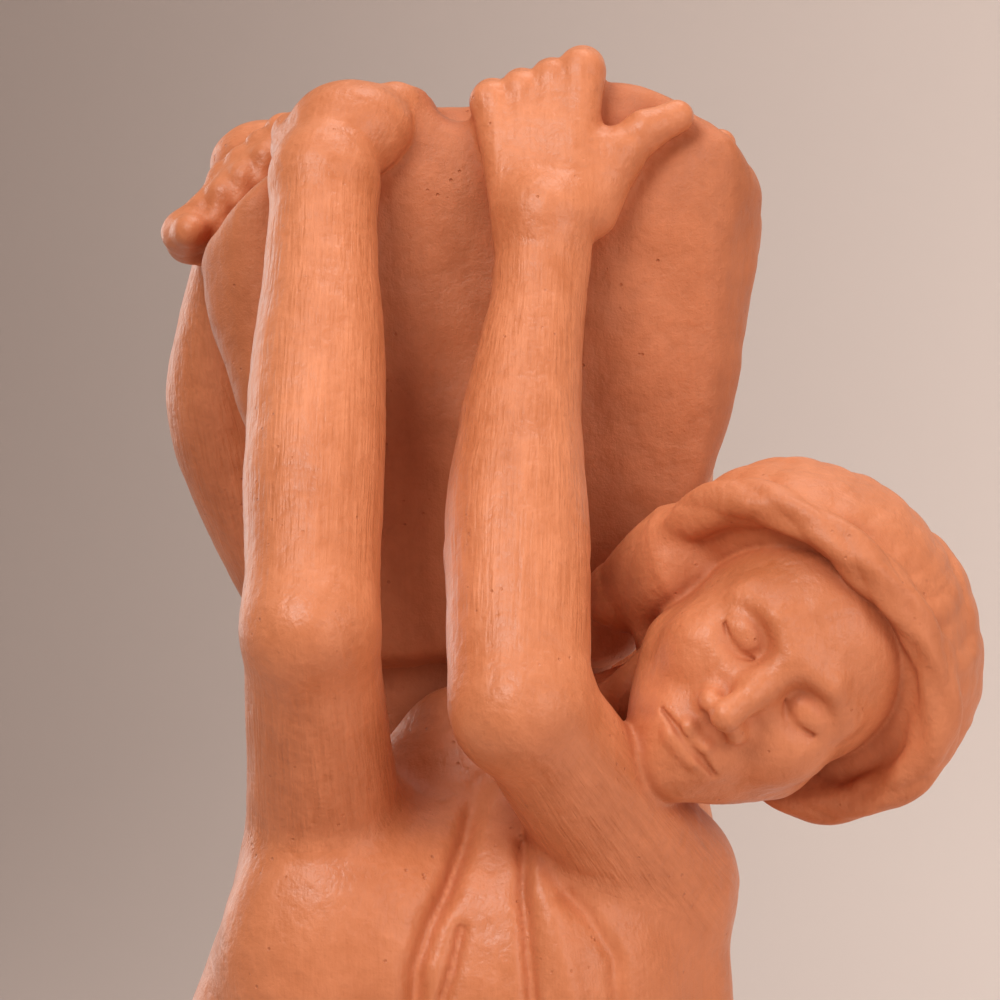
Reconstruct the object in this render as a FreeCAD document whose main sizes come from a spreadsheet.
"""Terracotta group: two robed bearers kneel back to back and hold a boulder up on a hollow core.

The frame is +Z up with its origin at the middle of the plinth's underside. The front figure
faces -Y and the rear figure faces +Y. Each clay section is its own solid, and sections meet
face to face where they are luted together. Lengths are in millimetres, angles in degrees.
"""

import FreeCAD, Part
import os
import Sketcher

doc = FreeCAD.newDocument("Bearers")
sheet = doc.addObject("Spreadsheet::Sheet", "Sizes")

# Driving sizes. A figure's points are given by x, by how far they stand out from the middle
# plane between the two figures, and by a height above or below what they belong to.
SIZES = {
    "plinth_width": 184, "plinth_depth": 216, "plinth_height": 20,
    "plinth_corner": 46, "plinth_bevel": 3,
    "base_vent_bore": 10, "base_vent_offset": 11,
    "core_width": 60, "core_depth": 34, "core_height": 315, "core_wall": 9,
    "cross_vent_bore": 12, "cross_vent_height": 120,
    "boulder_height": 126, "boulder_shoulder_height": 98, "boulder_wall": 9, "boulder_corner": 12,
    "boulder_base_width": 84, "boulder_base_depth": 46,
    "boulder_width": 126, "boulder_depth": 58,
    "boulder_top_width": 92, "boulder_top_depth": 44,
    "robe_hem_width": 156, "robe_hem_depth": 98,
    "robe_knee_width": 140, "robe_knee_depth": 94, "robe_knee_height": 62,
    "robe_hip_width": 114, "robe_hip_depth": 76, "robe_hip_drop": 45,
    "robe_height": 190, "robe_parting": 2, "clay_wall": 8, "former_corner": 45,
    "waist_width": 92, "waist_depth": 60, "back_seat": 4,
    "bust_width": 110, "bust_depth": 68, "bust_rise": 42,
    "yoke_width": 92, "yoke_depth": 56, "yoke_rise": 78,
    "collar_width": 50, "collar_depth": 38, "chest_height": 102,
    "shoulder_radius": 20, "elbow_radius": 16, "wrist_radius": 11, "wrist_gap": 0.5,
    "socket_step": 3,
    "knuckle_radius": 10, "finger_radius": 4.2, "finger_tip_radius": 3.4,
    "finger_pitch": 7, "finger_length": 18, "thumb_length": 23, "thumb_rise": 10,
    "neck_radius": 15, "chin_radius": 20, "crown_radius": 30, "hair_depth": 6,
    "roll_inset": 1, "roll_tube": 7, "roll_lean": 34, "knot_radius": 15,
    "elbow_reach": 46,
    "front_axis_x": -4, "front_shoulder_out": 47,
    "front_right_shoulder_x": -34, "front_right_shoulder_drop": 24,
    "front_right_elbow_x": -36, "front_right_elbow_rise": 48,
    "front_right_wrist_x": -34, "front_right_wrist_drop": 25, "front_right_knuckle_x": -24,
    "front_right_knuckle_drop": 0, "front_right_hand_slope": 0,
    "front_left_shoulder_x": 39, "front_left_shoulder_drop": 28,
    "front_left_elbow_x": 10, "front_left_elbow_rise": 39,
    "front_left_wrist_x": 14, "front_left_wrist_drop": 37, "front_left_knuckle_x": 14,
    "front_left_knuckle_drop": 0, "front_left_hand_slope": 0,
    "front_nape_x": 36, "front_nape_out": 49, "front_nape_rise": 18,
    "front_chin_x": 59, "front_chin_out": 62, "front_chin_rise": 22,
    "front_crown_x": 79, "front_crown_out": 57, "front_crown_rise": 30,
    "front_knot_x": 36, "front_knot_out": 38, "front_knot_rise": 40,
    "rear_axis_x": 0, "rear_shoulder_out": 46,
    "rear_right_shoulder_x": 38, "rear_right_shoulder_drop": 26,
    "rear_right_elbow_x": 40, "rear_right_elbow_rise": 50,
    "rear_right_wrist_x": 42, "rear_right_wrist_drop": 28, "rear_right_knuckle_x": 31,
    "rear_right_knuckle_drop": 0, "rear_right_hand_slope": 0,
    "rear_left_shoulder_x": -38, "rear_left_shoulder_drop": 26,
    "rear_left_elbow_x": -46, "rear_left_elbow_rise": 57,
    "rear_left_wrist_x": -60, "rear_left_wrist_drop": 31, "rear_left_knuckle_x": -51,
    "rear_left_knuckle_drop": 8, "rear_left_hand_slope": 0.5,
    "rear_nape_x": -2, "rear_nape_out": 60, "rear_nape_rise": 12,
    "rear_chin_x": -3, "rear_chin_out": 82, "rear_chin_rise": 8,
    "rear_crown_x": -7, "rear_crown_out": 92, "rear_crown_rise": 26,
    "rear_knot_x": -5, "rear_knot_out": 66, "rear_knot_rise": 42,
}
for row, (alias, value) in enumerate(SIZES.items(), start=1):
    sheet.set(f"A{row}", alias)
    sheet.set(f"B{row}", str(value))
    sheet.setAlias(f"B{row}", alias)
doc.recompute()


def size(alias):
    """The expression that reads one driving size."""
    if alias not in SIZES:
        raise KeyError(alias)
    return f"Sizes.{alias}"


CORE_TOP = f"({size('plinth_height')} + {size('core_height')})"
BOULDER_TOP = f"({CORE_TOP} + {size('boulder_height')})"
WAIST = f"({size('plinth_height')} + {size('robe_height')})"
COLLAR = f"({WAIST} + {size('chest_height')})"
HALF_CORE = f"{size('core_depth')} / 2"
SIDES = {"front": "-1", "rear": "1"}


def bind(item, **sizes):
    """Binds properties to expressions; a double underscore stands for the dot in a path."""
    for path, expression in sizes.items():
        item.setExpression(path.replace("__", "."), expression)
    return item


def place(item, x="0", y="0", z="0"):
    """Binds where an item's own origin stands."""
    return bind(item, Placement__Base__x=x, Placement__Base__y=y, Placement__Base__z=z)


def plane_of(body, role):
    """One of a body's own origin planes or axes."""
    return next(feature for feature in body.Origin.OriginFeatures if feature.Role == role)


def outline(body, name, points, rise="0 mm", shift="0 mm"):
    """A closed polygon raised and shifted from the body's XY plane, corners held by expressions."""
    sketch = body.newObject("Sketcher::SketchObject", name)
    sketch.AttachmentSupport = [(plane_of(body, "XY_Plane"), "")]
    sketch.MapMode = "FlatFace"
    bind(sketch, AttachmentOffset__Base__y=shift, AttachmentOffset__Base__z=rise)
    signs = [(sign_x, sign_y) for sign_x, sign_y, _, _ in points]
    corners = [FreeCAD.Vector(40 * sx + 3 * k, 40 * sy - 2 * k, 0) for k, (sx, sy) in enumerate(signs)]
    count = len(points)
    for k in range(count):
        sketch.addGeometry(Part.LineSegment(corners[k], corners[(k + 1) % count]), False)
    for k in range(count):
        sketch.addConstraint(Sketcher.Constraint("Coincident", k, 2, (k + 1) % count, 1))
    for k, (sign_x, sign_y, x, y) in enumerate(points):
        for kind, sign, expression in (("DistanceX", sign_x, x), ("DistanceY", sign_y, y)):
            held = (-1, 1, k, 1) if sign > 0 else (k, 1, -1, 1)
            number = sketch.addConstraint(Sketcher.Constraint(kind, *held, 40.0))
            sketch.setExpression(f"Constraints[{number}]", expression)
    return sketch


def chamfered_rectangle(body, name, width, depth, corner, rise="0 mm", shift="0 mm"):
    """A rectangle with its four corners cut off at 45 degrees, shifted along Y by its shift."""
    half_x, half_y = f"({width}) / 2", f"({depth}) / 2"
    near_x, near_y = f"{half_x} - ({corner})", f"{half_y} - ({corner})"
    return outline(body, name, [
        (1, -1, near_x, half_y), (1, -1, half_x, near_y), (1, 1, half_x, near_y), (1, 1, near_x, half_y),
        (-1, 1, near_x, half_y), (-1, 1, half_x, near_y), (-1, -1, half_x, near_y), (-1, -1, near_x, half_y),
    ], rise, shift)


def lofted(body, kind, name, sections):
    """A straight-sided loft through two or more sketches of one body."""
    loft = body.newObject(f"PartDesign::{kind}", name)
    loft.Profile = sections[0]
    loft.Sections = sections[1:]
    loft.Ruled = True
    return loft


def padded(body, name, sketch, length):
    """A sketch raised along +Z."""
    pad = body.newObject("PartDesign::Pad", name)
    pad.Profile = sketch
    return bind(pad, Length=length)


def pocketed(body, name, sketch, length):
    """A sketch cut upwards from its own plane."""
    pocket = body.newObject("PartDesign::Pocket", name)
    pocket.Profile = sketch
    pocket.Reversed = True
    return bind(pocket, Length=length)


def make_plinth():
    """The slab the group stands on, with a kiln vent into the core."""
    body = doc.addObject("PartDesign::Body", "PlinthBody")
    sketch = chamfered_rectangle(body, "PlinthOutline", size("plinth_width"), size("plinth_depth"),
                                 size("plinth_corner"))
    pad = padded(body, "PlinthSlab", sketch, size("plinth_height"))
    doc.recompute()
    top = max(range(len(pad.Shape.Faces)), key=lambda k: pad.Shape.Faces[k].CenterOfMass.z)
    bevel = body.newObject("PartDesign::Chamfer", "PlinthBevel")
    bevel.Base = (pad, [f"Face{top + 1}"])
    bind(bevel, Size=size("plinth_bevel"))
    vent = body.newObject("Sketcher::SketchObject", "BaseVentCircle")
    vent.AttachmentSupport = [(plane_of(body, "XY_Plane"), "")]
    vent.MapMode = "FlatFace"
    vent.addGeometry(Part.Circle(FreeCAD.Vector(10, 0, 0), FreeCAD.Vector(0, 0, 1), 5), False)
    vent.addConstraint(Sketcher.Constraint("PointOnObject", 0, 3, -1))
    offset = vent.addConstraint(Sketcher.Constraint("DistanceX", -1, 1, 0, 3, 10.0))
    bore = vent.addConstraint(Sketcher.Constraint("Diameter", 0, 10.0))
    vent.setExpression(f"Constraints[{offset}]", size("base_vent_offset"))
    vent.setExpression(f"Constraints[{bore}]", size("base_vent_bore"))
    body.Tip = pocketed(body, "BaseVent", vent, size("plinth_height"))
    return body


def make_core():
    """The square post between the two backs that carries the boulder, its bore and its vent."""
    corner, wall = size("core_wall"), size("core_wall")
    post = doc.addObject("PartDesign::Body", "CorePost")
    outer = chamfered_rectangle(post, "CoreOutline", size("core_width"), size("core_depth"), f"{corner} / 2")
    post.Tip = padded(post, "CorePostPad", outer, size("core_height"))
    bore = doc.addObject("PartDesign::Body", "CoreBore")
    inner = chamfered_rectangle(bore, "CoreBoreOutline", f"{size('core_width')} - 2 * {wall}",
                                f"{size('core_depth')} - 2 * {wall}", f"{corner} / 4")
    bore.Tip = padded(bore, "CoreBorePad", inner, size("core_height"))
    for body in (post, bore):
        place(body, z=size("plinth_height"))
    vent = doc.addObject("Part::Cylinder", "CrossVent")
    bind(vent, Radius=f"{size('cross_vent_bore')} / 2", Height=f"2 * {size('core_depth')}")
    vent.Placement.Rotation = FreeCAD.Rotation(FreeCAD.Vector(1, 0, 0), 90)
    place(vent, y=size("core_depth"), z=f"{size('plinth_height')} + {size('cross_vent_height')}")
    return post, bore, vent


def make_boulder():
    """The hollow boulder: a wide block that narrows to its seat and to its top, and its cavity."""
    wall, corner = size("boulder_wall"), size("boulder_corner")
    levels = [
        ("Base", size("boulder_base_width"), size("boulder_base_depth"), "0 mm"),
        ("Shoulder", size("boulder_width"), size("boulder_depth"), size("boulder_shoulder_height")),
        ("Top", size("boulder_top_width"), size("boulder_top_depth"), size("boulder_height")),
    ]
    body = doc.addObject("PartDesign::Body", "BoulderBody")
    lofted(body, "AdditiveLoft", "BoulderBlock", [
        chamfered_rectangle(body, f"Boulder{level}", width, depth, corner, rise)
        for level, width, depth, rise in levels])
    place(body, z=CORE_TOP)
    cavity = doc.addObject("PartDesign::Body", "BoulderCavity")
    neck = [f"{size('core_width')} - 2 * {size('core_wall')}", f"{size('core_depth')} - 2 * {size('core_wall')}"]
    lofted(cavity, "AdditiveLoft", "BoulderHollow", [
        chamfered_rectangle(cavity, "HollowNeck", *neck, f"{corner} / 4", "0 mm"),
        chamfered_rectangle(cavity, "HollowShoulder", f"{size('boulder_width')} - 2 * {wall}",
                            f"{size('boulder_depth')} - 2 * {wall}", corner, size("boulder_shoulder_height")),
        chamfered_rectangle(cavity, "HollowTop", f"{size('boulder_top_width')} - 2 * {wall}",
                            f"{size('boulder_top_depth')} - 2 * {wall}", f"{corner} / 2",
                            f"{size('boulder_height')} - {wall}"),
    ])
    place(cavity, z=CORE_TOP)
    return body, cavity


def bone(name, start, end, start_radius, end_radius):
    """A tapered rod with a ball at each end, on the line from start to end."""
    step = steps(start, end)
    length = length_of(step)
    rod = doc.addObject("Part::Cone", f"{name}Rod")
    bind(rod, Radius1=start_radius, Radius2=end_radius, Height=length)
    balls = []
    for k, radius in enumerate((start_radius, end_radius)):
        balls.append(bind(doc.addObject("Part::Sphere", f"{name}Ball{k}"), Radius=radius))
    for item, point in ((rod, start), (balls[0], start), (balls[1], end)):
        place(aim(item, step, length), *point)
    return joined(name, rod, *balls)


def steps(start, end):
    """The three expressions for the way from one point to another."""
    return [f"(({b}) - ({a}))" for a, b in zip(start, end)]


def length_of(step):
    """The expression for a step's length."""
    return f"sqrt({step[0]} ^ 2 + {step[1]} ^ 2 + {step[2]} ^ 2)"


def aim(item, step, length):
    """Turns an item's own +Z onto a step, by one rotation about the level line square to it."""
    return bind(item, Placement__Rotation__Angle=f"acos({step[2]} / {length})",
                Placement__Rotation__Axis__x=f"-1 * {step[1]}", Placement__Rotation__Axis__y=step[0],
                Placement__Rotation__Axis__z="0")


def joined(name, *shapes):
    """Several blanks fused into one."""
    fuse = doc.addObject("Part::MultiFuse", name)
    fuse.Shapes = list(shapes)
    return fuse


def cut_back(name, blank, *neighbours):
    """A blank with its neighbours' shapes taken out one by one, so that they meet face to face."""
    shape = blank
    for k, neighbour in enumerate(neighbours, start=1):
        cut = doc.addObject("Part::Cut", f"{name}Cut{k}")
        cut.Base = shape
        cut.Tool = neighbour
        shape = cut
    return shape


def oval_loft(name, ovals):
    """A smooth closed skin through level ovals, each (width, depth, x, y, z) as expressions."""
    rings = []
    for k, (width, depth, x, y, z) in enumerate(ovals):
        ring = doc.addObject("Part::Ellipse", f"{name}Oval{k}")
        bind(ring, MajorRadius=f"({width}) / 2", MinorRadius=f"({depth}) / 2")
        rings.append(place(ring, x, y, z))
    loft = doc.addObject("Part::Loft", name)
    loft.Sections = rings
    loft.Solid = True
    loft.Ruled = False
    return loft


def former(name, ovals, x):
    """The eight-sided hollow left inside an oval skin by the block it was pressed round."""
    body = doc.addObject("PartDesign::Body", name)
    wall = size("clay_wall")
    sections = []
    for k, (width, depth, _, y, z) in enumerate(ovals):
        inner_width, inner_depth = f"(({width}) - 2 * {wall})", f"(({depth}) - 2 * {wall})"
        corner = f"{inner_depth} * {size('former_corner')} / 100"
        sections.append(chamfered_rectangle(body, f"{name}Level{k}", inner_width, inner_depth, corner, z, y))
    body.Tip = lofted(body, "AdditiveLoft", f"{name}Loft", sections)
    return place(body, x)


class Figure:
    """One bearer. Its points are expressions, with y standing out on the figure's own side."""

    def __init__(self, side):
        self.side = side
        self.sign = SIDES[side]
        self.axis_x = size(f"{side}_axis_x")
        back = f"({HALF_CORE} - {size('back_seat')})"
        self.waist = (size("waist_width"), size("waist_depth"), self.axis_x,
                      self.out(f"{back} + {size('waist_depth')} / 2"), WAIST)
        self.torso = [self.waist] + [
            (size(f"{name}_width"), size(f"{name}_depth"), self.axis_x,
             self.out(f"{back} + {size(f'{name}_depth')} / 2"), f"{WAIST} + {rise}")
            for name, rise in (("bust", size("bust_rise")), ("yoke", size("yoke_rise")),
                               ("collar", size("chest_height")))]

    def out(self, distance):
        """A distance from the middle plane, signed to the figure's own side."""
        return f"{self.sign} * ({distance})"

    def named(self, piece):
        """The label of one of this figure's pieces."""
        return f"{self.side}_{piece}"

    def blank(self, piece):
        """The document name of one of this figure's blanks."""
        return self.side.capitalize() + piece

    def point(self, name, base=COLLAR):
        """A point given in the sheet by its x, its distance out and its rise over a base."""
        prefix = f"{self.side}_{name}"
        return (size(f"{prefix}_x"), self.out(size(f"{prefix}_out")), f"{base} + {size(f'{prefix}_rise')}")

    def arm_points(self, hand):
        """Shoulder, elbow, wrist and knuckle of the figure's right or left arm."""
        prefix = f"{self.side}_{hand}"
        shoulder_out, shoulder_z = size(f"{self.side}_shoulder_out"), f"{COLLAR} - {size(f'{prefix}_shoulder_drop')}"
        shoulder = (size(f"{prefix}_shoulder_x"), self.out(shoulder_out), shoulder_z)
        elbow = (size(f"{prefix}_elbow_x"), self.out(f"{shoulder_out} + {size('elbow_reach')}"),
                 f"{shoulder_z} + {size(f'{prefix}_elbow_rise')}")
        wrist = (size(f"{prefix}_wrist_x"),
                 self.out(f"{size('boulder_depth')} / 2 + {size('wrist_radius')} + {size('wrist_gap')}"),
                 f"{BOULDER_TOP} - {size(f'{prefix}_wrist_drop')}")
        knuckle = (size(f"{prefix}_knuckle_x"), self.out(f"{size('boulder_top_depth')} / 2"),
                   f"{BOULDER_TOP} - {size(f'{prefix}_knuckle_drop')} - {size('knuckle_radius')} / 2")
        return shoulder, elbow, wrist, knuckle

    def make_hand(self, hand, wrist, knuckle):
        """A palm from the wrist, four fingers laid over the boulder's top edge, and the thumb."""
        name = self.blank(hand.capitalize())
        palm = bone(f"{name}Palm", wrist, knuckle, f"{size('wrist_radius')} - {size('socket_step')}",
                    size("knuckle_radius"))
        prefix = f"{self.side}_{hand}"
        root_out = f"{size('boulder_top_depth')} / 2"
        fingers = []
        for k in range(4):
            across = f"{(2 * k - 3) / 2} * {size('finger_pitch')}"
            x = f"{knuckle[0]} + {across}"
            z = (f"{BOULDER_TOP} - {size(f'{prefix}_knuckle_drop')} + {size('finger_radius')} / 2"
                 f" + {size(f'{prefix}_hand_slope')} * {across}")
            fingers.append(bone(f"{name}Finger{k + 1}", (x, self.out(root_out), z),
                                (x, self.out(f"{root_out} - {size('finger_length')}"), z),
                                size("finger_radius"), size("finger_tip_radius")))
        outward = "1" if (hand == "left") == (self.side == "front") else "-1"
        root = (knuckle[0], knuckle[1], f"{knuckle[2]} - {size('thumb_rise')}")
        tip = (f"{knuckle[0]} + {outward} * {size('thumb_length')}",
               self.out(f"{size('boulder_top_depth')} / 2 + {size('finger_radius')}"), f"{knuckle[2]}")
        thumb = bone(f"{name}Thumb", root, tip, size("finger_radius"), size("finger_tip_radius"))
        return joined(f"{name}HandBlank", palm, thumb, *fingers)

    def make_torso(self):
        """The chest's and the robe's skins and cavities. They share the waist oval."""
        chest = oval_loft(self.blank("ChestSkin"), self.torso)
        chest_cavity = former(self.blank("ChestCavity"), self.torso[:-1], self.axis_x)
        robe_ovals = [
            (size(f"robe_{level}_width"), size(f"robe_{level}_depth"), self.axis_x,
             self.out(f"{size(f'robe_{level}_depth')} / 2 + {size('robe_parting')}"), z)
            for level, z in (("hem", size("plinth_height")),
                             ("knee", f"{size('plinth_height')} + {size('robe_knee_height')}"),
                             ("hip", f"{WAIST} - {size('robe_hip_drop')}"))]
        robe_ovals.append(self.waist)
        robe = oval_loft(self.blank("RobeSkin"), robe_ovals)
        return chest, chest_cavity, robe, former(self.blank("RobeCavity"), robe_ovals, self.axis_x)

    def make_head(self):
        """Blanks of the head, the neck, the hair cap, the rolled hair round the face and the knot."""
        chin, crown, nape = self.point("chin"), self.point("crown"), self.point("nape")
        head = bone(self.blank("HeadBlank"), chin, crown, size("chin_radius"), size("crown_radius"))
        root = (self.axis_x, self.out(f"{HALF_CORE} + {size('collar_depth')} / 2"), f"{COLLAR} - 10")
        neck = bone(self.blank("NeckBlank"), root, nape, size("neck_radius"),
                    f"{size('neck_radius')} - {size('socket_step')}")
        step = steps(chin, crown)
        step[1] = f"({step[1]} - {self.sign} * {size('roll_lean')})"
        back = (crown[0], f"{crown[1]} - {self.sign} * {size('hair_depth')}", crown[2])
        middle = tuple(f"(({a}) + ({b})) / 2" for a, b in zip(chin, crown))
        low = (middle[0], f"{middle[1]} - {self.sign} * 2 * {size('hair_depth')}", middle[2])
        cap = bone(self.blank("CapBlank"), low, back, size("crown_radius"),
                   f"{size('crown_radius')} + {size('hair_depth')} / 2")
        roll = doc.addObject("Part::Torus", self.blank("RollBlank"))
        bind(roll, Radius1=f"{size('crown_radius')} - {size('roll_inset')}", Radius2=size("roll_tube"))
        aim(roll, step, length_of(step))
        place(roll, *crown)
        knot = bind(doc.addObject("Part::Sphere", self.blank("KnotBlank")), Radius=size("knot_radius"))
        place(knot, *self.point("knot"))
        return head, neck, cap, roll, knot

    def make(self, core, boulder):
        """All of the figure's pieces, each cut back by those that it lies against."""
        pieces = {}
        forearms, upper_arms, hands = [], [], []
        for hand in ("right", "left"):
            shoulder, elbow, wrist, knuckle = self.arm_points(hand)
            name = self.blank(hand.capitalize())
            forearm = bone(f"{name}ForearmBlank", elbow, wrist, size("elbow_radius"), size("wrist_radius"))
            upper_arm = bone(f"{name}UpperArmBlank", shoulder, elbow, size("shoulder_radius"),
                             f"{size('elbow_radius')} - {size('socket_step')}")
            palm_and_fingers = self.make_hand(hand, wrist, knuckle)
            pieces[f"{hand}_forearm"] = cut_back(f"{name}Forearm", forearm, boulder)
            pieces[f"{hand}_hand"] = cut_back(f"{name}Hand", palm_and_fingers, boulder, forearm)
            pieces[f"{hand}_upper_arm"] = cut_back(f"{name}UpperArm", upper_arm, forearm)
            forearms.append(forearm)
            upper_arms.append(upper_arm)
            hands.append(palm_and_fingers)
        arms = forearms + upper_arms
        chest, chest_cavity, robe, robe_cavity = self.make_torso()
        head, neck, cap, roll, knot = self.make_head()
        pieces["chest"] = cut_back(self.blank("Chest"), chest, *arms, core, chest_cavity)
        pieces["robe"] = cut_back(self.blank("Robe"), robe, core, robe_cavity)
        pieces["head"] = cut_back(self.blank("Head"), head, boulder, chest, *arms)
        pieces["neck"] = cut_back(self.blank("Neck"), neck, head, chest, core, boulder, *arms)
        pieces["hair_roll"] = cut_back(self.blank("HairRoll"), roll, head, neck, chest, boulder, *arms)
        pieces["hair_cap"] = cut_back(self.blank("HairCap"), cap, head, roll, neck, chest, boulder, *arms)
        pieces["hair_knot"] = cut_back(self.blank("HairKnot"), knot, cap, head, roll, neck, chest, core,
                                       boulder, *arms)
        for piece, shape in pieces.items():
            shape.Label = self.named(piece)
        return list(pieces.values())


def make_all():
    """Every finished piece of the group, in the order it is built up."""
    plinth = make_plinth()
    core_body, core_bore, cross_vent = make_core()
    boulder_body, boulder_cavity = make_boulder()
    core = cut_back("Core", core_body, core_bore, cross_vent)
    boulder = cut_back("Boulder", boulder_body, boulder_cavity)
    plinth.Label, core.Label, boulder.Label = "plinth", "core_post", "boulder"
    finished = [plinth, core, boulder]
    for side in SIDES:
        finished += Figure(side).make(core_body, boulder_body)
    return finished


def check(pieces):
    """Stops the build if any object failed, or a piece is empty, broken or not one solid."""
    for item in doc.Objects:
        if {"Invalid", "Error"} & set(item.State):
            raise RuntimeError(f"{item.Label} failed: {item.State}")
    for piece in pieces:
        shape = piece.Shape
        if shape.isNull() or not shape.isValid() or shape.Volume <= 0:
            raise RuntimeError(f"{piece.Label} has no sound shape")
        if len(shape.Solids) != 1:
            raise RuntimeError(f"{piece.Label} is {len(shape.Solids)} solids")


made = make_all()
doc.recompute()
check(made)
os.makedirs("parts", exist_ok=True)
for piece in made:
    piece.Shape.exportStep(os.path.join("parts", f"{piece.Label}.step"))
    print(f"{piece.Label:24s} {piece.Shape.Volume / 1000:9.1f} cm3")
